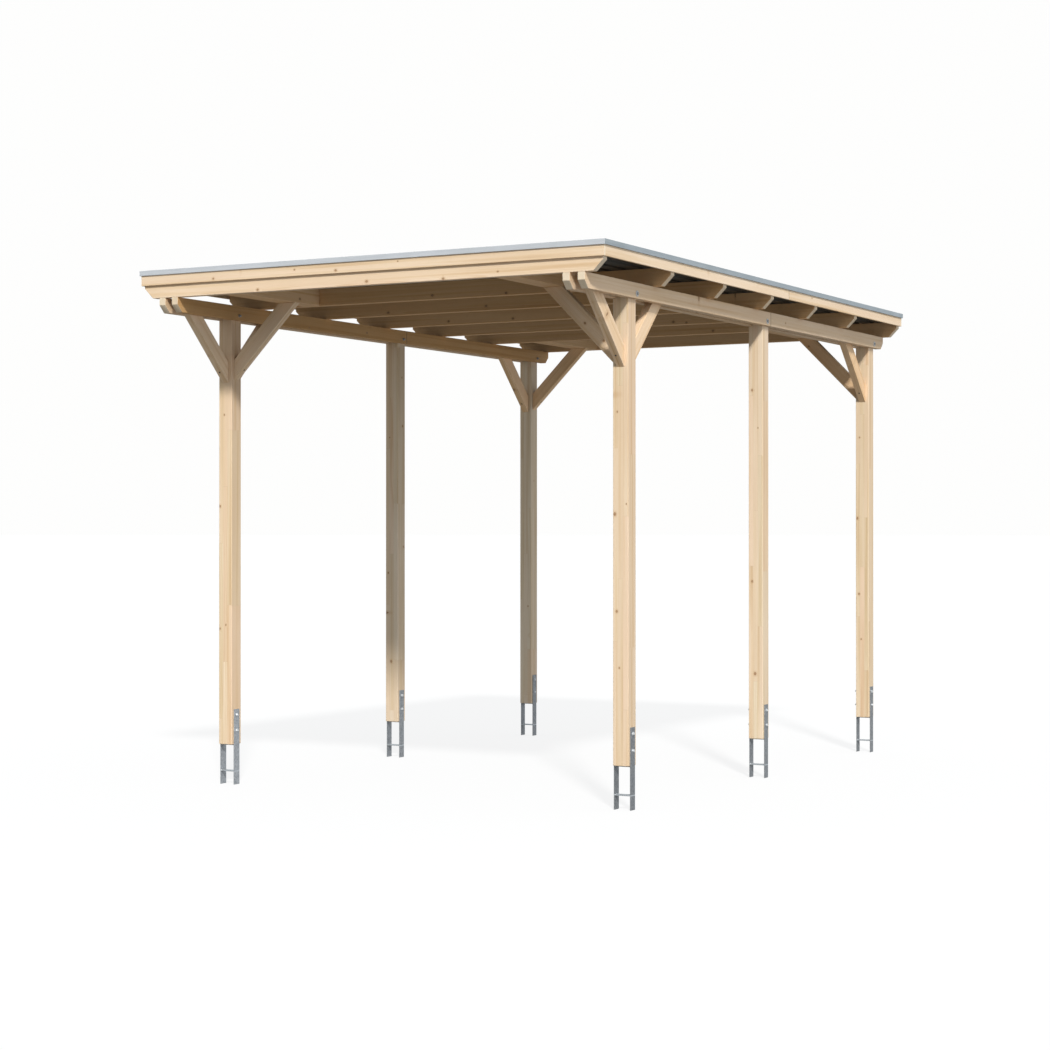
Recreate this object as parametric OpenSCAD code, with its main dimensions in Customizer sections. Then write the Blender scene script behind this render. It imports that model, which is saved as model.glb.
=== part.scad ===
// Open timber carport with a flat metal roof. It is built from glued laminated posts that
// stand in H-shaped steel anchors, twin beams, rafters, knee braces, edge boards and sheets.
// X runs across the carport, Y from the front to the back and Z up. The origin lies on the
// ground plane, under the middle of the roof, level with the feet of the anchors.

/* [Roof] */
// Width of the roof over the metal edge trims
roof_w = 3900; // [3600:10:4800]
// Length of the roof over the metal edge trims
roof_l = 5900; // [5400:10:7200]
// Height of the edge boards
fascia_h = 110; // [90:5:150]
// Thickness of the edge boards
fascia_t = 18; // [12:1:40]
// Height by which the edge boards lap down over the rafter ends
fascia_lap = 35; // [10:5:60]
// Height of the outer leg of the edge trim
trim_h = 37; // [20:1:60]
// Width of the top leg of the edge trim
trim_w = 75; // [50:1:120]
// Thickness of the trim metal
trim_t = 2; // [1:0.5:3]
// Distance by which the trim stands proud of the edge boards
trim_out = 10; // [4:1:20]

/* [Posts] */
// Side of a square post
post_w = 120; // [90:5:160]
// Height of a post from its foot to the seat of the beams
post_seat_h = 3270; // [2200:10:3900]
// Distance from the side edges of the roof in to the centres of the posts
side_overhang = 250; // [210:5:450]
// Distance from the front edge of the roof to the centre of the front posts
front_overhang = 795; // [700:5:1000]
// Distance from the centre of the rear posts to the rear edge of the roof
rear_overhang = 305; // [240:5:700]

/* [Anchors] */
// Height of the post foot above the feet of its anchor
anchor_below = 310; // [150:5:500]
// Height by which the anchor bars rise beside the post
anchor_above = 270; // [150:5:400]
// Width of the anchor bars and plates
anchor_w = 70; // [50:1:90]
// Thickness of the anchor bars
anchor_t = 6; // [4:1:10]
// Height of the lower cross plate above the feet of the anchor
anchor_cross_z = 100; // [40:5:140]

/* [Beams] */
// Thickness of one beam of a twin pair
beam_w = 55; // [40:1:80]
// Height of a beam
beam_h = 110; // [100:5:200]
// Gap between the rear ends of the beams and the rear edge board
beam_rear_gap = 34; // [0:1:120]
// Distance of the beam splices behind the centres of the middle posts
splice_shift = 50; // [0:1:50]
// Thickness of the post tongue between the twin beams
tongue_w = 60; // [40:1:80]
// Height and length of the bevel under the beam ends
beam_bevel = 55; // [20:1:80]

/* [Rafters] */
// Number of rafters
rafter_n = 7; // [5:1:9]
// Thickness of a rafter
rafter_w = 60; // [40:1:80]
// Height of a rafter
rafter_h = 130; // [105:5:200]
// Height and length of the bevel under the rafter ends
rafter_bevel = 75; // [40:1:100]
// Distance between the first two and the last two rafters, centre to centre
end_bay = 1060; // [800:10:1100]

/* [Knee braces] */
// Thickness of a knee brace that crosses the carport
brace_w = 60; // [40:1:60]
// Depth of a knee brace, square to its slope
brace_d = 110; // [80:5:140]
// Height from the seat of the beams down to the foot of the braces under the beams
brace_drop = 483; // [350:1:800]
// Height from the rafters down to the foot of the braces that cross the carport
cross_brace_drop = 571; // [450:1:900]
// Width of the blocking timbers that carry the cross braces
blocking_w = 160; // [120:5:240]

/* [Roof sheets] */
// Number of roof sheets side by side
sheet_n = 4; // [3:1:6]
// Number of ribs on one sheet
rib_n = 7; // [4:1:12]
// Height of the ribs
rib_h = 20; // [12:1:40]
// Thickness of the sheet
sheet_t = 1.5; // [1:0.1:3]

/* [Hidden] */
SIDES = ["left", "right"];
ROWS = ["front", "middle", "rear"];
LAYERS = ["outer", "inner"];
ENDS = ["front", "rear"];
EDGES = ["front", "rear", "left", "right"];

// Gap between boards that meet end to end, and between the sheets and the edge boards
joint_gap = 3;
edge_gap = 4;

// Distance by which the braces between the twin beams stop below the rafters
brace_top_gap = 10;

// Heights of the seats
beam_z = anchor_below + post_seat_h;
rafter_z = beam_z + beam_h;
roof_z = rafter_z + rafter_h;
fascia_z = roof_z - fascia_lap;
fascia_top = fascia_z + fascia_h;

// Inner faces of the edge boards
inner_x = roof_w / 2 - trim_out - fascia_t;
inner_y = roof_l / 2 - trim_out - fascia_t;

// Distance between the two rows of posts and between neighbouring posts of a row
row_gap = roof_w - 2 * side_overhang;
bay_l = (roof_l - front_overhang - rear_overhang) / 2;

// Lines of the posts, of the splices and of the rafters
post_y = [for (i = [0 : 2]) -roof_l / 2 + front_overhang + i * bay_l];
splice_y = post_y[1] + splice_shift;
first_rafter_y = -inner_y + rafter_w / 2;
inner_bay = (2 * -first_rafter_y - 2 * end_bay) / (rafter_n - 3);
rafter_y = [
    for (i = [0 : rafter_n - 1])
        i == 0 ? first_rafter_y
        : i == rafter_n - 1 ? -first_rafter_y
        : first_rafter_y + end_bay + (i - 1) * inner_bay
];

// Depth of a knee brace measured along a level or plumb cut at 45 degrees
brace_cut = brace_d * sqrt(2);

function side_sign(side) = side == "left" ? -1 : 1;

// A box given by its lowest corner and its size
module box(low, size) {
    translate(low) cube(size);
}

// An outline in the plane of X and Z, extruded along Y from y to y + width
module across(y, width) {
    translate([0, y + width, 0]) rotate([90, 0, 0]) linear_extrude(width) children();
}

// An outline in the plane of Y and Z, extruded along X from x to x + width
module along(x, width) {
    translate([x, 0, 0]) rotate([90, 0, 90]) linear_extrude(width) children();
}

// H-shaped steel anchor: two upright bars, a plate under the post and a lower cross plate
module anchor(side, row) {
    x = side_sign(side) * row_gap / 2;
    y = post_y[row];
    bar_h = anchor_below + anchor_above;
    color("lightsteelblue") translate([x, y - anchor_w / 2, 0]) union() {
        for (bar_x = [-post_w / 2 - anchor_t, post_w / 2])
            box([bar_x, 0, 0], [anchor_t, anchor_w, bar_h]);
        for (plate_z = [anchor_cross_z, anchor_below - anchor_t])
            box([-post_w / 2, 0, plate_z], [post_w, anchor_w, anchor_t]);
    }
}

// Square post with a tongue on top that stands between the twin beams
module post(side, row) {
    x = side_sign(side) * row_gap / 2;
    y = post_y[row] - post_w / 2;
    color("burlywood") union() {
        box([x - post_w / 2, y, anchor_below], [post_w, post_w, post_seat_h]);
        box([x - tongue_w / 2, y, beam_z], [tongue_w, post_w, beam_h]);
    }
}

// Half of a spliced beam: plumb at the splice on the middle post, bevelled at its free end
module beam(side, layer, end) {
    outward = side_sign(side) * (layer == "outer" ? 1 : -1);
    x = side_sign(side) * row_gap / 2 + outward * (tongue_w + beam_w) / 2 - beam_w / 2;
    direction = end == "front" ? -1 : 1;
    free_y = end == "front" ? -inner_y : inner_y - beam_rear_gap;
    cut_y = splice_y + direction * joint_gap / 2;
    color("burlywood") along(x, beam_w) polygon([
        [cut_y, beam_z],
        [free_y - direction * beam_bevel, beam_z],
        [free_y, beam_z + beam_bevel],
        [free_y, rafter_z],
        [cut_y, rafter_z]
    ]);
}

// Rafter that lies on the beams, bevelled under both ends
module rafter(index) {
    color("tan") across(rafter_y[index] - rafter_w / 2, rafter_w) polygon([
        [-inner_x, rafter_z + rafter_bevel],
        [-inner_x + rafter_bevel, rafter_z],
        [inner_x - rafter_bevel, rafter_z],
        [inner_x, rafter_z + rafter_bevel],
        [inner_x, roof_z],
        [-inner_x, roof_z]
    ]);
}

// Blocking timber between the two end rafters, as deep as they are, that carries a cross brace
module blocking(side, end) {
    pair = end == "front" ? [0, 1] : [rafter_n - 2, rafter_n - 1];
    y0 = rafter_y[pair[0]] + rafter_w / 2;
    y1 = rafter_y[pair[1]] - rafter_w / 2;
    top_x = row_gap / 2 - post_w / 2 - cross_brace_drop + brace_cut / 2;
    x = side_sign(side) * top_x - blocking_w / 2;
    color("tan") box([x, y0, rafter_z], [blocking_w, y1 - y0, rafter_h]);
}

// Outline of a knee brace at 45 degrees: plumb foot on the face of a post, level top
module brace_outline(face, direction, foot_z, top_z) {
    run = top_z - foot_z;
    polygon([
        [face, foot_z],
        [face + direction * run, top_z],
        [face + direction * (run - brace_cut), top_z],
        [face, foot_z + brace_cut]
    ]);
}

// Knee brace in the plane of a post row, from a post up between its twin beams
module row_brace(side, row, direction) {
    x = side_sign(side) * row_gap / 2 - tongue_w / 2;
    face = post_y[row] + direction * post_w / 2;
    color("peru") along(x, tongue_w)
        brace_outline(face, direction, beam_z - brace_drop, rafter_z - brace_top_gap);
}

// Knee brace across the carport, from an end post up to its blocking timber
module cross_brace(side, row) {
    direction = -side_sign(side);
    face = side_sign(side) * (row_gap - post_w) / 2;
    color("peru") across(post_y[row] - brace_w / 2, brace_w)
        brace_outline(face, direction, rafter_z - cross_brace_drop, rafter_z);
}

// Edge board over the front or rear rafter, over the full width
module end_fascia(end) {
    full_x = inner_x + fascia_t;
    low_y = end == "front" ? -inner_y - fascia_t : inner_y;
    color("wheat") box([-full_x, low_y, fascia_z], [2 * full_x, fascia_t, fascia_h]);
}

// Front or rear half of a side edge board, which is spliced in line with the beams
module side_fascia(side, end) {
    low_x = side == "left" ? -inner_x - fascia_t : inner_x;
    low_y = end == "front" ? -inner_y : splice_y + joint_gap / 2;
    high_y = end == "front" ? splice_y - joint_gap / 2 : inner_y;
    color("wheat") box([low_x, low_y, fascia_z], [fascia_t, high_y - low_y, fascia_h]);
}

// Ribbed roof sheet with its ribs along the carport
module roof_sheet(index) {
    cover = 2 * (inner_x - edge_gap) / sheet_n;
    pitch = cover / rib_n;
    x0 = -inner_x + edge_gap + index * cover;
    flank = rib_h / 2;
    crest = pitch / 4;
    lower = [
        for (i = [0 : rib_n - 1], step = [0 : 3])
            let (mid = x0 + (i + 0.5) * pitch)
            step == 0 ? [mid - crest / 2 - flank, roof_z]
            : step == 1 ? [mid - crest / 2, roof_z + rib_h]
            : step == 2 ? [mid + crest / 2, roof_z + rib_h]
            : [mid + crest / 2 + flank, roof_z]
    ];
    bottom = concat([[x0, roof_z]], lower, [[x0 + cover, roof_z]]);
    top = [for (i = [len(bottom) - 1 : -1 : 0]) bottom[i] + [0, sheet_t]];
    color("darkslategray") across(-inner_y + edge_gap, 2 * (inner_y - edge_gap))
        polygon(concat(bottom, top));
}

// Section of the edge trim, seen along the edge: outer leg, top leg and lower return lip.
// Its outer face stands at zero and the edge board lies on the side of larger values.
module trim_section() {
    top = fascia_top + trim_t;
    polygon([
        [0, top],
        [0, top - trim_h],
        [trim_out, top - trim_h],
        [trim_out, top - trim_h + trim_t],
        [trim_t, top - trim_h + trim_t],
        [trim_t, fascia_top],
        [trim_w, fascia_top],
        [trim_w, top]
    ]);
}

// Straight trim of a given length along X with both ends mitred, on the front edge
module mitred_trim(length, offset) {
    reach = 2 * trim_w;
    difference() {
        translate([-length / 2, -offset, 0]) rotate([90, 0, 90]) linear_extrude(length) trim_section();
        for (end = [-1, 1])
            translate([end * length / 2, -offset, fascia_z])
                rotate([0, 0, end > 0 ? 45 : 135])
                    translate([0, -reach, 0]) cube([reach, 2 * reach, 2 * fascia_h]);
    }
}

// Edge trim over one edge board
module trim(edge) {
    color("lightgray") {
        if (edge == "front") mitred_trim(roof_w, roof_l / 2);
        if (edge == "rear") rotate([0, 0, 180]) mitred_trim(roof_w, roof_l / 2);
        if (edge == "left") rotate([0, 0, -90]) mitred_trim(roof_l, roof_w / 2);
        if (edge == "right") rotate([0, 0, 90]) mitred_trim(roof_l, roof_w / 2);
    }
}

for (s = SIDES, r = [0 : 2]) {
    anchor(s, r);
    post(s, r);
}
for (s = SIDES, e = ENDS, l = LAYERS) {
    beam(s, l, e);
}
for (i = [1 : rafter_n]) {
    rafter(i - 1);
}
for (s = SIDES, e = ENDS) {
    blocking(s, e);
    cross_brace(s, e == "front" ? 0 : 2);
}
for (s = SIDES) {
    row_brace(s, 0, -1);
    row_brace(s, 0, 1);
    row_brace(s, 2, -1);
}
for (e = ENDS) {
    end_fascia(e);
}
for (s = SIDES, e = ENDS) {
    side_fascia(s, e);
}
for (t = EDGES) {
    trim(t);
}
for (i = [1 : sheet_n]) {
    roof_sheet(i - 1);
}
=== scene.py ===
import math
import random

import bmesh
import bpy
from mathutils import Matrix, Vector


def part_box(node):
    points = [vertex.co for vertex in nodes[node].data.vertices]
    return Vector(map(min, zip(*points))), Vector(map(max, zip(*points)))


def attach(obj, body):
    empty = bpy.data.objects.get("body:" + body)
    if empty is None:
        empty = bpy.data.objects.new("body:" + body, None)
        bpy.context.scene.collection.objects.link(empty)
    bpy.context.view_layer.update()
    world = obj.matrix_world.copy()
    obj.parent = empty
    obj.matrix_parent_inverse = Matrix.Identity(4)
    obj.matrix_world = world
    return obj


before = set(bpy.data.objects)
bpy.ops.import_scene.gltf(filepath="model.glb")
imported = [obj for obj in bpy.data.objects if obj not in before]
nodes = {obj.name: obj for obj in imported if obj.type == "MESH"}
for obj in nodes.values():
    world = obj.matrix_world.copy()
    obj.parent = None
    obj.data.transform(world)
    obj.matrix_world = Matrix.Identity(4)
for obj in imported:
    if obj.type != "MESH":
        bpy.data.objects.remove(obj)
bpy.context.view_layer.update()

rng = random.Random(41)

X = Vector((1, 0, 0))
Y = Vector((0, 1, 0))
Z = Vector((0, 0, 1))
SIDES = {"left": -1, "right": 1}
ROWS = {"front": -2.155, "middle": 0.245, "rear": 2.645}
ROW_X = 1.7
SPLICE_Y = 0.295
CROSS_PLATE_Z = 0.103
HALF_W = 1.95
HALF_L = 2.95


# ------------------------------------------------------------------ shader helpers
class Shader:
    """A node material. Each method adds a node and returns its output."""

    def __init__(self, name):
        self.material = bpy.data.materials.new(name)
        self.material.use_nodes = True
        self.tree = self.material.node_tree
        self.tree.nodes.clear()
        self.surface = self.tree.nodes.new("ShaderNodeBsdfPrincipled")
        output = self.tree.nodes.new("ShaderNodeOutputMaterial")
        self.tree.links.new(self.surface.outputs[0], output.inputs[0])
        self.place = self.tree.nodes.new("ShaderNodeTexCoord").outputs["Object"]

    def put(self, socket, value):
        if isinstance(value, bpy.types.NodeSocket):
            self.tree.links.new(value, socket)
        elif value is not None:
            socket.default_value = value

    def node(self, kind, *values, **settings):
        made = self.tree.nodes.new("ShaderNode" + kind)
        for key, value in settings.items():
            setattr(made, key, value)
        for socket, value in zip(made.inputs, values):
            self.put(socket, value)
        return made

    def math(self, operation, a, b=None, c=None):
        return self.node("Math", a, b, c, operation=operation).outputs[0]

    def vector(self, operation, a, b=None, c=None):
        made = self.node("VectorMath", a, b, c, operation=operation)
        scalar = operation in ("LENGTH", "DOT_PRODUCT", "DISTANCE")
        return made.outputs["Value" if scalar else "Vector"]

    def noise(self, vector, scale=1.0, detail=2.0, roughness=0.5, colour=False):
        made = self.node("TexNoise")
        self.put(made.inputs["Vector"], vector)
        self.put(made.inputs["Scale"], scale)
        self.put(made.inputs["Detail"], detail)
        self.put(made.inputs["Roughness"], roughness)
        return made.outputs["Color" if colour else 0]

    def remap(self, value, low, high, to_low=0.0, to_high=1.0):
        made = self.node("MapRange", value, low, high, to_low, to_high)
        made.interpolation_type = "SMOOTHSTEP"
        return made.outputs[0]

    def mix(self, factor, a, b, blend="MIX"):
        made = self.node("Mix", data_type="RGBA", blend_type=blend)
        self.put(made.inputs[0], factor)
        self.put(made.inputs[6], a if isinstance(a, bpy.types.NodeSocket) else (*a, 1.0))
        self.put(made.inputs[7], b if isinstance(b, bpy.types.NodeSocket) else (*b, 1.0))
        return made.outputs[2]

    def ramp(self, factor, *stops):
        made = self.node("ValToRGB", factor)
        elements = made.color_ramp.elements
        while len(elements) < len(stops):
            elements.new(0.5)
        for element, (position, colour) in zip(elements, stops):
            element.position = position
            element.color = (*colour, 1.0) if isinstance(colour, tuple) else (colour,) * 3 + (1.0,)
        return made.outputs[0]

    def set(self, **values):
        for key, value in values.items():
            name = key.replace("_", " ")
            self.put(self.surface.inputs[name], value)

    def bump(self, height, strength, distance):
        made = self.node("Bump")
        self.put(made.inputs["Strength"], strength)
        self.put(made.inputs["Distance"], distance)
        self.put(made.inputs["Height"], height)
        self.put(self.surface.inputs["Normal"], made.outputs[0])


# Faces turned this way carry only the knots listed in KNOTS
CLEAR_FACES = Vector((1, -1, -1))
# Early and late wood of a year ring
EARLY = (0.835, 0.670, 0.500)
LATE = (0.70, 0.495, 0.30)
# Distance between the finger joints of a lamella
LAMELLA_LENGTH = 1.35


def tint(colour, tone, warm=0.0):
    """A wood colour made lighter or darker by tone, and redder by warm."""
    return tuple(min(0.92, c * tone * (1 + warm * w)) for c, w in zip(colour, (0.5, -0.12, -0.95)))


def wood(name, low, high, grain, flat, tone, warm, knots, wild, plies=0, seam=None):
    """Spruce timber between two corners. grain runs along it and flat lies across it.

    knots are (point, radius) in metres, in the object's frame. wild is how many seeded knots are
    added on the faces that CLEAR_FACES leaves to chance. plies is the number of lamellae, stacked
    along flat. seam is the place of a butt joint along Y.
    """
    s = Shader(name)
    seed = rng.uniform(-50, 50)
    centre = (low + high) / 2
    third = grain.cross(flat).normalized()
    basis = Matrix((grain, flat, third)).transposed()
    half = [abs((basis.transposed() @ (high - centre))[i]) for i in range(3)]
    turn = basis.to_euler()
    mapped = s.node("Mapping", s.place, tuple(centre), tuple(turn), vector_type="TEXTURE")
    local = mapped.outputs[0]

    # lamellae: every one has its own shift of the pattern, tone and finger joints
    shift = (seed, seed * 0.7, -seed * 0.4)
    if plies:
        width = 2 * half[1] / plies
        parts = s.node("SeparateXYZ", local)
        ply = s.math("FLOOR", s.math("MULTIPLY_ADD", parts.outputs[1], 1 / width, plies / 2))
        zigzag = s.math("PINGPONG", parts.outputs[2], 0.0038)
        reach = s.math("MULTIPLY_ADD", zigzag, 3.6, parts.outputs[0])
        lap = s.math("MULTIPLY_ADD", ply, 0.913, reach)
        piece = s.math("FLOOR", s.math("MULTIPLY_ADD", lap, 1 / LAMELLA_LENGTH, seed))
        key = s.node("CombineXYZ", ply, piece, seed).outputs[0]
        own = s.node("TexWhiteNoise", key)
        moved = s.vector("MULTIPLY_ADD", own.outputs["Color"], (9.0, 7.0, 8.0), local)
    else:
        moved = local
    drift = s.vector("ADD", moved, shift)

    # knots: ellipsoids on the faces, listed ones and seeded ones
    places = [(basis.transposed() @ (Vector(p) - centre), r) for p, r in knots]
    for _ in range(wild):
        axis = rng.choice((1, 2))
        spot = Vector([rng.uniform(-0.95, 0.95) * h for h in half])
        outward = (flat, third)[axis - 1]
        away = 1 if outward.dot(CLEAR_FACES) < 0 else -1
        spot[axis] = half[axis] * away
        places.append((spot, rng.uniform(0.004, 0.0115)))
    near = None
    for spot, radius in places:
        axis = 1 if abs(abs(spot[1]) - half[1]) < abs(abs(spot[2]) - half[2]) else 2
        stretch = [1 / (radius * 1.25), 1 / radius, 1 / radius]
        stretch[axis] = 1 / min(0.035, 0.9 * half[axis])
        away = s.vector("SUBTRACT", local, tuple(spot))
        distance = s.vector("LENGTH", s.vector("MULTIPLY", away, tuple(stretch)))
        near = distance if near is None else s.math("MINIMUM", near, distance)

    # year rings round a wandering pith line
    wobble = s.noise(s.vector("MULTIPLY", drift, (0.55, 3.0, 3.0)), 1.0, 2.0, 0.5, True)
    amount = 0.05
    pith = (rng.uniform(-0.3, 0.3) * half[1], rng.choice((-1, 1)) * rng.uniform(0.5, 1.6) * half[2])
    to_pith = (0, -pith[0] - amount / 2, -pith[1] - amount / 2)
    bent = s.vector("MULTIPLY_ADD", wobble, (0, amount, amount), to_pith)
    spread = s.vector("MULTIPLY_ADD", moved if plies else local, (0, 1, 1), bent)
    radius = s.vector("LENGTH", spread)
    phase = s.math("MULTIPLY", radius, 1 / rng.uniform(0.0032, 0.0045))
    if near is not None:
        pull = s.remap(near, 0.6, 4.5, 2.6, 0.0)
        phase = s.math("ADD", phase, pull)
    year = s.math("FRACT", phase)
    ring = s.ramp(year, (0.0, 0.0), (0.5, 0.12), (0.8, 0.9), (0.92, 0.8), (1.0, 0.0))

    streak = s.noise(s.vector("MULTIPLY", drift, (0.5, 34.0, 34.0)), 1.0, 2.0, 0.55)
    cloud = s.noise(s.vector("MULTIPLY", drift, (1.1, 9.0, 9.0)), 1.0, 1.0, 0.5)
    fibre = s.noise(s.vector("MULTIPLY", drift, (14.0, 900.0, 900.0)), 1.0, 1.0, 0.5)

    colour = s.mix(s.math("MULTIPLY", ring, 0.62), tint(EARLY, tone, warm), tint(LATE, tone, warm))
    bands = s.ramp(streak, (0.28, (0.84, 0.76, 0.64)), (0.44, (0.96, 0.93, 0.86)),
                   (0.54, (1.0, 1.0, 1.0)), (0.70, (0.985, 0.955, 0.935)))
    colour = s.mix(1.0, colour, bands, "MULTIPLY")
    patch = s.ramp(cloud, (0.3, (0.93, 0.90, 0.86)), (0.7, (1.0, 1.0, 1.0)))
    colour = s.mix(1.0, colour, patch, "MULTIPLY")
    thread = s.ramp(fibre, (0.25, (0.90, 0.88, 0.85)), (0.7, (1.0, 1.0, 1.0)))
    colour = s.mix(0.7, colour, thread, "MULTIPLY")
    if plies:
        own_tone = s.ramp(own.outputs["Value"], (0.0, (0.93, 0.90, 0.84)), (0.35, (1.0, 0.955, 0.93)),
                          (0.7, (0.95, 0.975, 0.94)), (1.0, (1.0, 1.0, 1.0)))
        colour = s.mix(1.0, colour, own_tone, "MULTIPLY")
        edge = s.math("PINGPONG", s.math("MULTIPLY_ADD", parts.outputs[1], 1 / width, plies / 2), 0.5)
        glue = s.remap(edge, 0.0, 0.016, 0.22, 0.0)
        colour = s.mix(glue, colour, (0.36, 0.235, 0.13))
        close = s.math("PINGPONG", s.math("MULTIPLY_ADD", lap, 1 / LAMELLA_LENGTH, seed), 0.5)
        finger = s.remap(close, 0.0, 0.0009, 0.4, 0.0)
        colour = s.mix(finger, colour, (0.34, 0.21, 0.11))
    # end grain: paler, greyer and stippled where the surface turns across the fibres
    facing_way = s.node("TexCoord").outputs["Normal"]
    across = s.math("ABSOLUTE", s.vector("DOT_PRODUCT", facing_way, tuple(grain)))
    pores = s.noise(local, 420.0, 2.0, 0.7)
    cut = s.ramp(pores, (0.35, (0.66, 0.585, 0.45)), (0.65, (0.84, 0.75, 0.60)))
    cut = s.mix(s.math("MULTIPLY", ring, 0.35), cut, (0.50, 0.38, 0.24))
    colour = s.mix(s.remap(across, 0.45, 0.70, 0.0, 0.7), colour, cut)
    if near is not None:
        halo = s.remap(near, 1.0, 3.0, 0.42, 0.0)
        colour = s.mix(halo, colour, (0.50, 0.30, 0.145))
        turns = s.math("FRACT", s.math("MULTIPLY", near, 3.3))
        heart = s.ramp(turns, (0.0, (0.34, 0.195, 0.10)), (0.6, (0.42, 0.26, 0.145)),
                       (1.0, (0.30, 0.165, 0.085)))
        core = s.remap(near, 0.92, 1.12, 1.0, 0.0)
        colour = s.mix(core, colour, heart)
        rim = s.remap(s.math("ABSOLUTE", s.math("SUBTRACT", near, 1.0)), 0.0, 0.16, 0.7, 0.0)
        colour = s.mix(rim, colour, (0.17, 0.09, 0.045))
    if seam is not None:
        line = s.node("SeparateXYZ", s.place).outputs[1]
        gap = s.math("ABSOLUTE", s.math("SUBTRACT", line, seam))
        colour = s.mix(s.remap(gap, 0.0025, 0.007, 0.6, 0.0), colour, (0.15, 0.10, 0.06))
    rough = s.remap(ring, 0.0, 1.0, 0.68, 0.52)
    height = s.math("ADD", s.math("MULTIPLY", ring, 0.5), fibre)
    s.set(Base_Color=colour, Roughness=rough)
    s.surface.inputs["Specular IOR Level"].default_value = 0.3
    s.bump(height, 0.35, 0.0004)
    return s.material


def galvanised(name, tone):
    """Hot-dip galvanised steel with a spangle and white bloom, made lighter or darker by tone, which carries
    painted light, and with a painted highlight along the edge of the cross plate.
    """
    s = Shader(name)
    cells = s.node("TexVoronoi", s.place)
    cells.inputs["Scale"].default_value = 85.0
    spangle = s.node("SeparateColor", cells.outputs["Color"]).outputs[0]
    cloud = s.noise(s.place, 22.0, 4.0, 0.6)
    dark = tuple(c * tone for c in (0.26, 0.275, 0.29))
    light = tuple(c * tone for c in (0.36, 0.375, 0.39))
    base = s.ramp(spangle, (0.0, dark), (1.0, light))
    height = s.node("SeparateXYZ", s.place).outputs[2]
    # painted highlight: a pale band along the edge of the cross plate
    plate = s.math("ABSOLUTE", s.math("SUBTRACT", height, CROSS_PLATE_Z))
    base = s.mix(s.remap(plate, 0.0035, 0.005, 0.9, 0.0), base, (0.66, 0.70, 0.73))
    bloom = s.ramp(cloud, (0.42, (1.0, 1.0, 1.0)), (0.72, (0.78, 0.79, 0.80)))
    s.set(Base_Color=s.mix(1.0, base, bloom, "MULTIPLY"), Roughness=s.remap(cloud, 0.3, 0.7, 0.36, 0.58))
    s.surface.inputs["Metallic"].default_value = 0.75
    s.bump(cloud, 0.12, 0.0004)
    return s.material


def metal(name, dark, light, rough, metallic=0.85, scale=160.0):
    """Small metal parts: bolts, washers, screws and rivets."""
    s = Shader(name)
    cloud = s.noise(s.place, scale, 3.0, 0.6)
    s.set(Base_Color=s.ramp(cloud, (0.3, dark), (0.7, light)),
          Roughness=s.remap(cloud, 0.3, 0.7, rough - 0.08, rough + 0.1))
    s.surface.inputs["Metallic"].default_value = metallic
    return s.material


def coated(name, dark, light, along, rough):
    """Coil-coated sheet metal with a faint rolling grain along one direction and rain marks."""
    s = Shader(name)
    stretch = tuple(1.2 if abs(c) > 0.5 else 60.0 for c in along)
    streak = s.noise(s.vector("MULTIPLY", s.place, stretch), 1.0, 3.0, 0.55)
    cloud = s.noise(s.place, 3.5, 4.0, 0.6)
    colour = s.ramp(streak, (0.3, dark), (0.7, light))
    dust = s.ramp(cloud, (0.4, (1.0, 1.0, 1.0)), (0.7, (0.90, 0.91, 0.90)))
    s.set(Base_Color=s.mix(1.0, colour, dust, "MULTIPLY"),
          Roughness=s.remap(cloud, 0.3, 0.7, rough - 0.06, rough + 0.08))
    s.bump(streak, 0.05, 0.0004)
    return s.material


# ------------------------------------------------------------------ CAD pieces
def dress(node, material, bevel, segments=2):
    """Gives a CAD node its material and a small rounded arris."""
    piece = nodes[node]
    piece.data.materials.clear()
    piece.data.materials.append(material)
    weld = piece.modifiers.new("weld", "WELD")
    weld.merge_threshold = 0.00001
    flat = piece.modifiers.new("flat", "DECIMATE")
    flat.decimate_type = "DISSOLVE"
    flat.angle_limit = math.radians(0.5)
    arris = piece.modifiers.new("arris", "BEVEL")
    arris.width = bevel
    arris.segments = segments
    arris.limit_method = "ANGLE"
    arris.angle_limit = math.radians(25)
    arris.harden_normals = False


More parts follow.
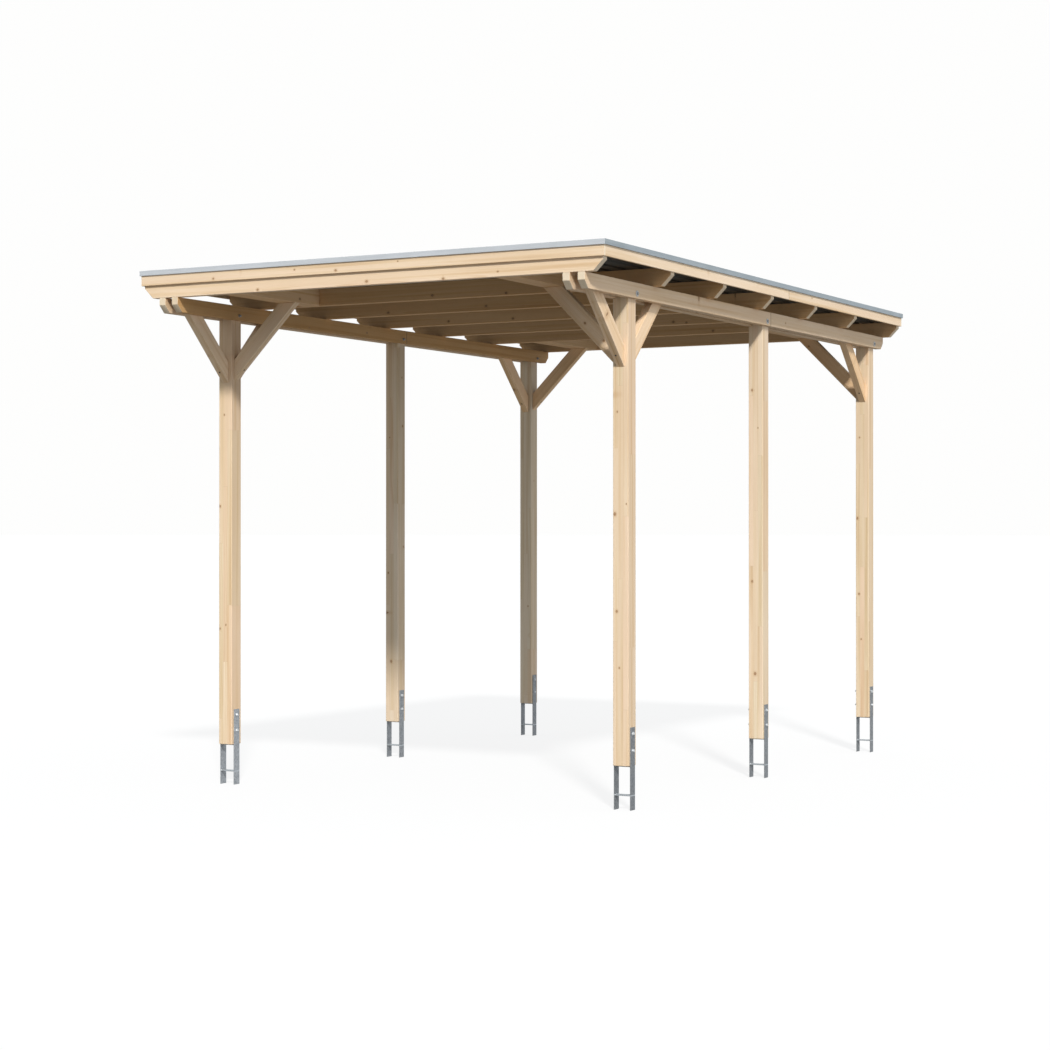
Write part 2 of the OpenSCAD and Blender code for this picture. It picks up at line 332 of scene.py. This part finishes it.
# Knots that show: face, offset from the middle of the piece, height above its lower edge, radius
KNOTS = {
    "post_front_right": (
        ("front", -0.025, 2.475, 0.005), ("front", -0.045, 1.76, 0.009),
        ("front", 0.045, 1.83, 0.004), ("front", -0.03, 1.08, 0.007),
        ("front", -0.01, 0.685, 0.005),
    ),
    "post_front_left": (
        ("front", -0.01, 2.54, 0.005), ("front", -0.05, 1.835, 0.007),
        ("front", 0.005, 0.92, 0.005), ("front", -0.05, 0.89, 0.006),
    ),
    "post_middle_left": (
        ("front", -0.02, 2.455, 0.004), ("front", -0.035, 1.285, 0.006),
        ("front", -0.005, 0.52, 0.009), ("right", 0.01, 2.975, 0.005),
        ("right", 0.02, 2.555, 0.007), ("right", 0.035, 1.51, 0.006),
    ),
    "post_middle_right": (
        ("front", -0.03, 2.76, 0.007), ("front", 0.02, 2.46, 0.004),
        ("front", -0.03, 1.245, 0.007), ("front", -0.005, 0.515, 0.009),
    ),
    "post_rear_right": (
        ("front", -0.025, 2.475, 0.005), ("front", -0.045, 1.76, 0.008),
        ("front", -0.03, 1.09, 0.007), ("front", -0.01, 0.69, 0.005),
    ),
    "post_rear_left": (
        ("front", 0.025, 0.93, 0.005), ("right", -0.005, 2.13, 0.004),
    ),
    "fascia_front": (
        ("front", -1.275, 0.02, 0.006), ("front", -0.2, 0.02, 0.007),
        ("front", -0.555, 0.045, 0.005), ("front", 0.32, 0.055, 0.004),
    ),
    "rafter_1": (
        ("front", 0.05, 0.025, 0.008), ("front", -0.89, 0.015, 0.007),
        ("front", 0.68, 0.01, 0.007), ("front", 1.115, 0.035, 0.005),
    ),
    "rafter_2": (
        ("front", -0.05, 0.03, 0.008), ("front", 0.585, 0.015, 0.008),
        ("front", -1.245, 0.065, 0.01),
    ),
    "rafter_3": (
        ("front", -0.11, 0.035, 0.008), ("front", -1.02, 0.025, 0.008),
    ),
    "rafter_4": (
        ("front", -0.38, 0.025, 0.008), ("front", -1.0, 0.03, 0.008),
    ),
    "rafter_5": (
        ("front", 0.655, 0.025, 0.009), ("front", 0.775, 0.015, 0.007),
    ),
    "rafter_6": (
        ("front", 0.61, 0.025, 0.009),
    ),
    "brace_cross_front_right": (
        ("front", 0.05, 0.3, 0.007), ("front", 0.2, 0.17, 0.007),
    ),
    "brace_cross_rear_right": (
        ("front", -0.17, 0.495, 0.006),
    ),
    "fascia_right_rear": (
        ("right", -0.825, 0.055, 0.005),
    ),
    "beam_inner_front_left": (
        ("right", 0.975, 0.045, 0.008), ("right", 0.115, 0.02, 0.006),
    ),
    "beam_outer_rear_right": (
        ("right", -0.99, 0.05, 0.006),
    ),
    "blocking_front_left": (
        ("right", 0.235, 0.03, 0.008),
    ),
}


def knots_on(name):
    """The listed knots of a piece as (point, radius), on its front or its right face."""
    low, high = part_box(name)
    middle = (low + high) / 2
    places = []
    for face, offset, height, radius in KNOTS.get(name, ()):
        z = low.z + height
        on_front = (middle.x + offset, low.y, z)
        on_right = (high.x, middle.y + offset, z)
        places.append((on_front if face == "front" else on_right, radius))
    return places


def timber(name, grain, flat, tone, warm, arris, wild, **extra):
    """Dresses a straight timber in wood of its own."""
    low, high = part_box(name)
    own = wood(f"wood_{name}", low, high, grain, flat, tone, warm, knots_on(name), wild, **extra)
    dress(name, own, arris)


# Rounding of the edges of posts, other timbers, boards, steel bars and trims
POST_ARRIS = 0.004
TIMBER_ARRIS = 0.003
BOARD_ARRIS = 0.002
STEEL_ARRIS = 0.0008
TRIM_ARRIS = 0.0005

# Lightness and redness of each post, partly painted light and shade: the middle and rear left posts are made
# cooler for the shade they stand in, and the middle right post paler for its light
POST_TONE_AND_PAINTED_LIGHT = {"front_left": (1.03, -0.03), "middle_left": (1.01, -0.10), "rear_left": (0.99, -0.12),
             "front_right": (1.015, -0.06), "middle_right": (1.04, -0.07), "rear_right": (1.02, -0.04)}
for side in SIDES:
    for row in ROWS:
        tone, warm = POST_TONE_AND_PAINTED_LIGHT[f"{row}_{side}"]
        timber(f"post_{row}_{side}", Z, X, tone, warm, POST_ARRIS, 5, plies=3)
    for layer in ("outer", "inner"):
        for end in ("front", "rear"):
            # painted shade: the left inner beam is darker and redder than the others, and the other beams are
            # a little darker than the posts
            painted_shade_beam = layer == "inner" and side == "left"
            warm = rng.uniform(0.42, 0.46) if painted_shade_beam else rng.uniform(0.02, 0.05)
            tone = rng.uniform(0.55, 0.59) if painted_shade_beam else rng.uniform(0.89, 0.92)
            timber(f"beam_{layer}_{end}_{side}", Y, X, tone, warm, TIMBER_ARRIS, 5, seam=SPLICE_Y)
    for end in ("front", "rear"):
        # painted shade: the blockings under the roof are darker and redder than the posts
        tone = rng.uniform(0.80, 0.84)
        warm = rng.uniform(0.20, 0.26)
        timber(f"blocking_{end}_{side}", Y, Z, tone, warm, BOARD_ARRIS, 3)
        tone, warm = (1.02, -0.04) if end == "front" else (0.99, -0.02)
        timber(f"fascia_{side}_{end}", Y, X, tone, warm, BOARD_ARRIS, 4, seam=SPLICE_Y)
for i in range(1, 8):
    # painted shade: rafters 2 to 7, under the roof, are darker and redder than the lit front rafter
    warm = 0.0 if i == 1 else rng.uniform(0.26, 0.34)
    tone = 0.99 if i == 1 else rng.uniform(0.74, 0.81)
    timber(f"rafter_{i}", X, Y, tone, warm, TIMBER_ARRIS, 5)
for end in ("front", "rear"):
    timber(f"fascia_{end}", X, Y, 1.0, -0.02, BOARD_ARRIS, 5)

# knee braces: the grain follows the slope of each
BRACE_HALF = (0.33, 0.03, 0.055)
for side, sign in SIDES.items():
    slopes = {
        f"brace_front_forward_{side}": (-Y + Z, X),
        f"brace_front_backward_{side}": (Y + Z, X),
        f"brace_rear_forward_{side}": (-Y + Z, X),
        f"brace_cross_front_{side}": (-X * sign + Z, Y),
        f"brace_cross_rear_{side}": (-X * sign + Z, Y),
    }
    for name, (slope, flat) in slopes.items():
        low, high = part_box(name)
        centre = (low + high) / 2
        slope = slope.normalized()
        across = slope.cross(flat).normalized()
        reach = slope * BRACE_HALF[0] + flat * BRACE_HALF[1] + across * BRACE_HALF[2]
        # painted shade: the rear braces are darker and redder than the front ones
        if "rear" in name:
            tone, warm = rng.uniform(0.92, 0.96), 0.14
        else:
            tone, warm = rng.uniform(0.97, 1.0), rng.uniform(0.0, 0.05)
        low, high = centre - reach, centre + reach
        own = wood(f"wood_{name}", low, high, slope, flat, tone, warm, knots_on(name), 2)
        dress(name, own, TIMBER_ARRIS)

# Painted light and shade: the steel of each anchor is made lighter or darker for the light it stands in
ANCHOR_PAINTED_LIGHT = {"front_left": 1.6, "middle_left": 1.25, "rear_left": 1.15,
              "front_right": 1.03, "middle_right": 1.2, "rear_right": 1.2}
for label, tone in ANCHOR_PAINTED_LIGHT.items():
    dress(f"anchor_{label}", galvanised(f"steel_anchor_{label}", tone), STEEL_ARRIS, 1)
sheet_metal = coated("roof_sheet_metal", (0.026, 0.026, 0.021), (0.037, 0.037, 0.031), Y, 0.5)
for i in range(1, 5):
    nodes[f"roof_sheet_{i}"].data.materials.clear()
    nodes[f"roof_sheet_{i}"].data.materials.append(sheet_metal)
# Dark and light streaks of the trims across the ends and along the sides; the side trims are made darker than
# the end trims for the light they get, painted shade
END_TRIM = ((0.48, 0.505, 0.54), (0.525, 0.55, 0.58))
SIDE_TRIM_PAINTED_SHADE = ((0.265, 0.305, 0.335), (0.315, 0.355, 0.38))
for edge, along, (dark, light) in (("front", X, END_TRIM), ("rear", X, END_TRIM),
                                   ("left", Y, SIDE_TRIM_PAINTED_SHADE), ("right", Y, SIDE_TRIM_PAINTED_SHADE)):
    dress(f"trim_{edge}", coated(f"trim_metal_{edge}", dark, light, along, 0.42), TRIM_ARRIS, 1)


# ------------------------------------------------------------------ fixings
def merge(name, parts, material):
    """One piece from several (mesh builder, matrix) pairs."""
    bm = bmesh.new()
    for build, place in parts:
        before = set(bm.verts)
        build(bm)
        bmesh.ops.transform(bm, matrix=place, verts=[v for v in bm.verts if v not in before])
    bmesh.ops.recalc_face_normals(bm, faces=bm.faces)
    mesh = bpy.data.meshes.new(name)
    bm.to_mesh(mesh)
    bm.free()
    for polygon in mesh.polygons:
        polygon.use_smooth = False
    piece = bpy.data.objects.new(name, mesh)
    bpy.context.scene.collection.objects.link(piece)
    piece.data.materials.append(material)
    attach(piece, "root")
    return piece


def turned(profile, segments, phase=0.0):
    """A builder that turns a closed (radius, height) profile about Z."""
    def build(bm):
        rings = []
        for radius, height in profile:
            if radius < 1e-6:
                rings.append([bm.verts.new((0, 0, height))])
                continue
            rings.append([
                bm.verts.new((radius * math.cos(phase + 2 * math.pi * k / segments),
                              radius * math.sin(phase + 2 * math.pi * k / segments), height))
                for k in range(segments)
            ])
        for a, b in zip(rings, rings[1:]):
            for k in range(segments):
                n = (k + 1) % segments
                if len(a) == 1 and len(b) == 1:
                    continue
                if len(a) == 1:
                    bm.faces.new((a[0], b[k], b[n]))
                elif len(b) == 1:
                    bm.faces.new((a[k], b[0], a[n]))
                else:
                    bm.faces.new((a[k], b[k], b[n], a[n]))
    return build


def washer(outer, inner, thick):
    """A flat ring with eased edges."""
    ease = thick * 0.25
    profile = [(inner, 0), (outer - ease, 0), (outer, ease), (outer, thick - ease),
               (outer - ease, thick), (inner, thick), (inner, 0)]
    return turned(profile, 28)


def hexagon(across, height, turn=0.0, closed=True):
    """A hexagon head or nut with a chamfered top, and a dished top when it is a head."""
    r = across / math.sqrt(3)
    profile = [(0, 0), (r, 0), (r, height * 0.82), (r * 0.86, height)]
    profile += [(r * 0.60, height), (r * 0.56, height * 0.95), (0, height * 0.95)] if closed else [(0, height)]
    return turned(profile, 6, turn)


def thread(radius, length, pitch):
    """The end of a threaded bolt: rings of thread and a chamfered tip."""
    profile = [(0, 0)]
    turns = int(length / pitch)
    for k in range(turns):
        profile += [(radius * 0.86, k * pitch), (radius, (k + 0.5) * pitch)]
    tip = turns * pitch + pitch * 0.8
    profile += [(radius * 0.86, turns * pitch), (radius * 0.72, tip), (0, tip)]
    return turned(profile, 20)


def facing(point, direction, turn=0.0):
    """The matrix that stands +Z of a builder along a direction at a point."""
    stand = direction.to_track_quat("Z", "Y").to_matrix().to_4x4()
    return Matrix.Translation(point) @ stand @ Matrix.Rotation(turn, 4, "Z")


zinc = metal("zinc_bolts", (0.62, 0.64, 0.65), (0.82, 0.84, 0.85), 0.42, 0.6)
pale_zinc = metal("beam_washers", (0.50, 0.50, 0.50), (0.60, 0.60, 0.60), 0.6, 0.15)
dull_zinc = metal("beam_bolts", (0.30, 0.30, 0.295), (0.42, 0.42, 0.415), 0.6, 0.15)
dark_screw = metal("screw_heads", (0.05, 0.045, 0.04), (0.12, 0.11, 0.10), 0.5, 0.6)
weld_metal = metal("weld_beads", (0.36, 0.38, 0.39), (0.52, 0.54, 0.55), 0.5, 0.75, 240.0)
roof_screw = metal("roof_screws", (0.10, 0.105, 0.10), (0.17, 0.18, 0.17), 0.45, 0.3)
rivet = metal("trim_rivets", (0.46, 0.49, 0.52), (0.60, 0.63, 0.66), 0.4, 0.3)


# M12 bolts: width across the flats, radius of the shank and pitch of the thread
BOLT_ACROSS = 0.019
BOLT_SHANK = 0.006
BOLT_PITCH = 0.00175


def bolt(x_head, x_nut, y, z, washer_r, washer_t):
    """A hexagon bolt along X with washers: head at x_head, nut and thread end at x_nut."""
    way = X if x_head > x_nut else -X
    head_turn, nut_turn = rng.uniform(0, 1), rng.uniform(0, 1)
    head = Vector((x_head, y, z))
    nut = Vector((x_nut, y, z))
    top = way * washer_t
    return [
        (washer(washer_r, BOLT_SHANK, washer_t), facing(head, way)),
        (hexagon(BOLT_ACROSS, BOLT_ACROSS * 0.42), facing(head + top, way, head_turn)),
        (washer(washer_r, BOLT_SHANK, washer_t), facing(nut, -way)),
        (hexagon(BOLT_ACROSS, BOLT_ACROSS * 0.5, 0.0, False), facing(nut - top, -way, nut_turn)),
        (thread(BOLT_SHANK, BOLT_ACROSS * 0.95, BOLT_PITCH), facing(nut - top, -way)),
    ]


def bead(length, leg, phase):
    """A weld bead along X in the corner between +Y and -Z, with the ripples of its making."""
    def build(bm):
        steps, arcs = 26, 5
        rings = []
        for i in range(steps + 1):
            t = i / steps
            swell = 1 + 0.14 * math.sin(t * 60 + phase) + 0.08 * math.sin(t * 23 + 2 * phase)
            if i in (0, steps):
                swell *= 0.35
            ring = [bm.verts.new((length * (t - 0.5), 0, 0))]
            for k in range(arcs + 1):
                a = math.pi / 2 * k / arcs
                fat = leg * swell * (0.86 if 0 < k < arcs else 1.0)
                ring.append(bm.verts.new((length * (t - 0.5), fat * math.cos(a), -fat * math.sin(a))))
            rings.append(ring)
        for a, b in zip(rings, rings[1:]):
            for k in range(len(a)):
                n = (k + 1) % len(a)
                bm.faces.new((a[k], b[k], b[n], a[n]))
        bm.faces.new(rings[0])
        bm.faces.new(list(reversed(rings[-1])))
    return build


# Outer and inner faces of the anchor bars, and the outer face of the twin beams, from the post's centre
BAR_OUT = 0.066
BAR_IN = 0.06
BEAM_OUT = 0.085
# Heights of the bolts in an anchor and of the bolt through the beams
ANCHOR_BOLT_HEIGHTS = (0.535, 0.417)
BEAM_BOLT_Z = 3.614
# Place of each beam bolt along Y, from the centre of its post
BEAM_BOLT_SHIFT = {"front_right": 0.031, "middle_right": -0.021, "rear_right": 0.018,
                   "front_left": 0.002, "middle_left": -0.007, "rear_left": 0.013}
# Weld beads of an anchor: bar, height, and 1 under a plate or -1 over it
WELDS = ((-1, 0.304, 1), (1, 0.304, 1), (-1, 0.1, 1), (1, 0.1, 1), (-1, 0.106, -1), (1, 0.106, -1))
WELD_LENGTH = 0.064
WELD_LEG = 0.0045
for side, sign in SIDES.items():
    for row, y in ROWS.items():
        x = sign * ROW_X
        label = f"{row}_{side}"
        parts = []
        for z in ANCHOR_BOLT_HEIGHTS:
            parts += bolt(x + BAR_OUT, x - BAR_OUT, y + rng.uniform(-0.001, 0.001), z, 0.0125, 0.0025)
        merge(f"anchor_bolts_{label}", parts, zinc)

        # the beam bolt's head stands on a larger, paler washer of its own
        head = Vector((x + sign * BEAM_OUT, y + BEAM_BOLT_SHIFT[label], BEAM_BOLT_Z))
        wide = [(washer(0.022, 0.0065, 0.003), facing(head, X * sign))]
        merge(f"beam_washer_{label}", wide, pale_zinc)
        parts = bolt(head.x, x - sign * BEAM_OUT, head.y, head.z, 0.012, 0.003)
        merge(f"beam_bolt_{label}", parts[1:], dull_zinc)

        parts = []
        for bar, height, way in WELDS:
            spot = Vector((x + bar * BAR_IN, y, height))
            spin = Matrix.Rotation(math.radians(90 * bar), 4, "Z") @ Matrix.Diagonal((1, 1, way, 1))
            parts.append((bead(WELD_LENGTH, WELD_LEG, rng.uniform(0, 6)), Matrix.Translation(spot) @ spin))
        merge(f"anchor_welds_{label}", parts, weld_metal)


def screw_head(radius):
    """A countersunk head sunk in the timber: a raised rim of its hole, the cone and a star recess."""
    def build(bm):
        inner = radius * 0.55
        rim = [(radius * 1.12, 0.0), (radius * 1.06, 0.0007), (radius, 0.0002), (inner, 0.0004)]
        turned(rim, 24)(bm)
        lobes = []
        floor = []
        for k in range(24):
            a = 2 * math.pi * k / 24
            r = radius * (0.46 + 0.09 * math.cos(6 * a))
            lobes.append(bm.verts.new((r * math.cos(a), r * math.sin(a), 0.0004)))
            floor.append(bm.verts.new((r * 0.9 * math.cos(a), r * 0.9 * math.sin(a), 0.0001)))
        ring = [v for v in bm.verts if abs(math.hypot(v.co.x, v.co.y) - inner) < 1e-5 and v not in lobes]
        ring.sort(key=lambda v: math.atan2(v.co.y, v.co.x) % (2 * math.pi))
        for k in range(24):
            n = (k + 1) % 24
            bm.faces.new((ring[k], ring[n], lobes[n], lobes[k]))
            bm.faces.new((lobes[k], lobes[n], floor[n], floor[k]))
        bm.faces.new(floor)
    return build


# Half a post, the feet of the braces along and across the carport, and the screw's place up the slope
POST_HALF = 0.06
FOOT_Z = 3.097
CROSS_FOOT_Z = 3.119
FOOT_ALONG = 0.106
for side, sign in SIDES.items():
    across = (-X * sign, CROSS_FOOT_Z)
    feet = {"front": [(-Y, FOOT_Z), (Y, FOOT_Z), across], "rear": [(-Y, FOOT_Z), across]}
    for row, braces in feet.items():
        parts = []
        for out, foot_z in braces:
            slope = (out + Z).normalized()
            down = (out - Z).normalized()
            tip = Vector((sign * ROW_X, ROWS[row], foot_z)) + out * POST_HALF
            parts.append((screw_head(0.0065), facing(tip + slope * FOOT_ALONG, down, rng.uniform(0, 1))))
        merge(f"brace_screws_{row}_{side}", parts, dark_screw)


def seal_screw():
    """A roofing screw: domed sealing washer and a small hexagon head."""
    def build(bm):
        seal = [(0, 0.0), (0.0085, 0.0), (0.0085, 0.0012), (0.0072, 0.0024), (0.0052, 0.0032), (0.0, 0.0032)]
        head = [(0, 0.0032), (0.0046, 0.0032), (0.0046, 0.0066), (0.0038, 0.0078), (0, 0.0078)]
        turned(seal, 16)(bm)
        turned(head, 6)(bm)
    return build


# The roof sheets: their top, ribs, and the rafters that their screws stand over
RAFTER_TOP = 3.82
RIB_HEIGHT = 0.02
SHEET_T = 0.0015
SHEET_TOP = RAFTER_TOP + RIB_HEIGHT + SHEET_T
RAFTER_LINES = (-2.892, -1.832, -0.916, 0.0, 0.916, 1.832, 2.892)
SCREW_REACH = 2.88
INNER_X = 1.922
EDGE_GAP = 0.004
SHEETS = 4
RIBS = 7
cover = 2 * (INNER_X - EDGE_GAP) / SHEETS
pitch = cover / RIBS
for sheet in range(SHEETS):
    parts = []
    # every second rib is screwed, from the first to the last
    for rib in range(0, RIBS, 2):
        x = -INNER_X + EDGE_GAP + sheet * cover + (rib + 0.5) * pitch
        for line in RAFTER_LINES:
            y = max(-SCREW_REACH, min(SCREW_REACH, line)) + rng.uniform(-0.003, 0.003)
            spot = Matrix.Translation((x, y, SHEET_TOP))
            parts.append((seal_screw(), spot @ Matrix.Rotation(rng.uniform(0, 1), 4, "Z")))
    merge(f"roof_screws_{sheet + 1}", parts, roof_screw)


def dome(radius, height):
    """The domed head of a blind rivet with its broken pin."""
    profile = [(radius, 0), (radius * 0.97, height * 0.35), (radius * 0.75, height * 0.8),
               (radius * 0.35, height), (radius * 0.30, height * 0.75), (0, height * 0.75)]
    return turned(profile, 16)


# Rivets of the trims: their height, distance from the edge and from the corners
TRIM_TOP = 3.897
RIVET_IN = 0.045
RIVET_END = 0.07
# Each edge: the way out, the way along, half its length, its distance from the middle and its rivets
EDGES = {"front": (-Y, X, HALF_W, HALF_L, 7), "rear": (Y, X, HALF_W, HALF_L, 7),
         "left": (-X, Y, HALF_L, HALF_W, 11), "right": (X, Y, HALF_L, HALF_W, 11)}
for edge, (out, run, half, reach, count) in EDGES.items():
    parts = []
    for k in range(count):
        t = -half + RIVET_END + (2 * half - 2 * RIVET_END) * k / (count - 1)
        spot = out * (reach - RIVET_IN) + run * t + Z * TRIM_TOP
        parts.append((dome(0.004, 0.0015), facing(spot, Z)))
    merge(f"trim_rivets_{edge}", parts, rivet)


# ------------------------------------------------------------------ floor, light and camera
FLOOR_SIZE = 2500.0


def floor_plane(size):
    """A plain pale floor that takes the object's shadow."""
    bm = bmesh.new()
    bmesh.ops.create_grid(bm, x_segments=8, y_segments=8, size=size)
    mesh = bpy.data.meshes.new("floor")
    bm.to_mesh(mesh)
    bm.free()
    floor = bpy.data.objects.new("floor", mesh)
    bpy.context.scene.collection.objects.link(floor)
    material = bpy.data.materials.new("pale_floor")
    material.use_nodes = True
    tree = material.node_tree
    tree.nodes.clear()
    output = tree.nodes.new("ShaderNodeOutputMaterial")
    add = tree.nodes.new("ShaderNodeAddShader")
    paint = tree.nodes.new("ShaderNodeBsdfDiffuse")
    glow = tree.nodes.new("ShaderNodeEmission")
    paint.inputs["Color"].default_value = (0.13, 0.13, 0.13, 1)
    glow.inputs["Color"].default_value = (1, 1, 1, 1)
    glow.inputs["Strength"].default_value = 0.84
    tree.links.new(paint.outputs[0], add.inputs[0])
    tree.links.new(glow.outputs[0], add.inputs[1])
    tree.links.new(add.outputs[0], output.inputs[0])
    mesh.materials.append(material)
    floor.visible_diffuse = False
    floor.visible_glossy = False


# The way to the sun, and the colours of the sky from straight down to straight up
TO_SUN = Vector((0.456, -0.640, 0.602))
SKY_STOPS = ((0.0, (0.25, 0.24, 0.22)), (0.47, (0.25, 0.25, 0.24)),
             (0.53, (0.50, 0.53, 0.55)), (1.0, (0.56, 0.60, 0.63)))
FILL_GAIN = 0.52
FILL_COLOUR = (0.98, 1.03, 1.11, 1.0)
BACKDROP = (0.99, 0.99, 0.985, 1.0)


def sun_light():
    """A soft-edged sun."""
    data = bpy.data.lights.new("key", "SUN")
    data.energy = 3.5
    data.color = (1.0, 0.985, 0.955)
    data.angle = math.radians(5.0)
    sun = bpy.data.objects.new("key", data)
    bpy.context.scene.collection.objects.link(sun)
    sun.location = TO_SUN * 30
    sun.rotation_euler = TO_SUN.to_track_quat("Z", "Y").to_euler()


def studio_world():
    """A plain backdrop that lights the object with a soft sky and a fill from +X."""
    world = bpy.data.worlds.new("soft studio")
    bpy.context.scene.world = world
    world.use_nodes = True
    tree = world.node_tree
    tree.nodes.clear()
    link = tree.links.new

    def add(kind, operation=None):
        made = tree.nodes.new("ShaderNode" + kind)
        if operation:
            made.operation = operation
        return made

    # the sky: dim below the horizon and brighter above it
    split = add("SeparateXYZ")
    link(add("TexCoord").outputs["Generated"], split.inputs[0])
    span = add("MapRange")
    span.inputs[1].default_value = -1.0
    span.inputs[2].default_value = 1.0
    link(split.outputs[2], span.inputs[0])
    blend = add("ValToRGB")
    link(span.outputs[0], blend.inputs[0])
    elements = blend.color_ramp.elements
    while len(elements) < len(SKY_STOPS):
        elements.new(0.5)
    for element, (position, colour) in zip(elements, SKY_STOPS):
        element.position = position
        element.color = (*colour, 1.0)
    sky = add("Background")
    link(blend.outputs[0], sky.inputs["Color"])

    # the fill: strongest along +X, and nothing from the side of -X
    ahead = add("Math", "MAXIMUM")
    ahead.inputs[1].default_value = 0.0
    link(split.outputs[0], ahead.inputs[0])
    square = add("Math", "MULTIPLY")
    link(ahead.outputs[0], square.inputs[0])
    link(ahead.outputs[0], square.inputs[1])
    gain = add("Math", "MULTIPLY")
    gain.inputs[1].default_value = FILL_GAIN
    link(square.outputs[0], gain.inputs[0])
    fill = add("Background")
    fill.inputs["Color"].default_value = FILL_COLOUR
    link(gain.outputs[0], fill.inputs["Strength"])
    both = add("AddShader")
    link(sky.outputs[0], both.inputs[0])
    link(fill.outputs[0], both.inputs[1])

    # the backdrop shows where the floor and the object leave it free
    seen = add("Background")
    seen.inputs["Color"].default_value = BACKDROP
    choose = add("MixShader")
    link(add("LightPath").outputs["Is Camera Ray"], choose.inputs[0])
    link(both.outputs[0], choose.inputs[1])
    link(seen.outputs[0], choose.inputs[2])
    link(choose.outputs[0], add("OutputWorld").inputs[0])


def photo_camera():
    """A camera at the viewing angle of the photograph."""
    data = bpy.data.cameras.new("camera")
    data.sensor_width = 36.0
    data.lens = 77.198
    data.clip_start = 0.5
    data.clip_end = 4000.0
    camera = bpy.data.objects.new("camera", data)
    bpy.context.scene.collection.objects.link(camera)
    camera.location = (8.7040, -16.3056, 1.9316)
    camera.rotation_euler = [math.radians(a) for a in (90.2258, 0.0015, 28.8605)]
    bpy.context.scene.camera = camera
    bpy.context.scene.view_settings.view_transform = "Standard"


floor_plane(FLOOR_SIZE)
sun_light()
studio_world()
photo_camera()

bpy.context.view_layer.update()
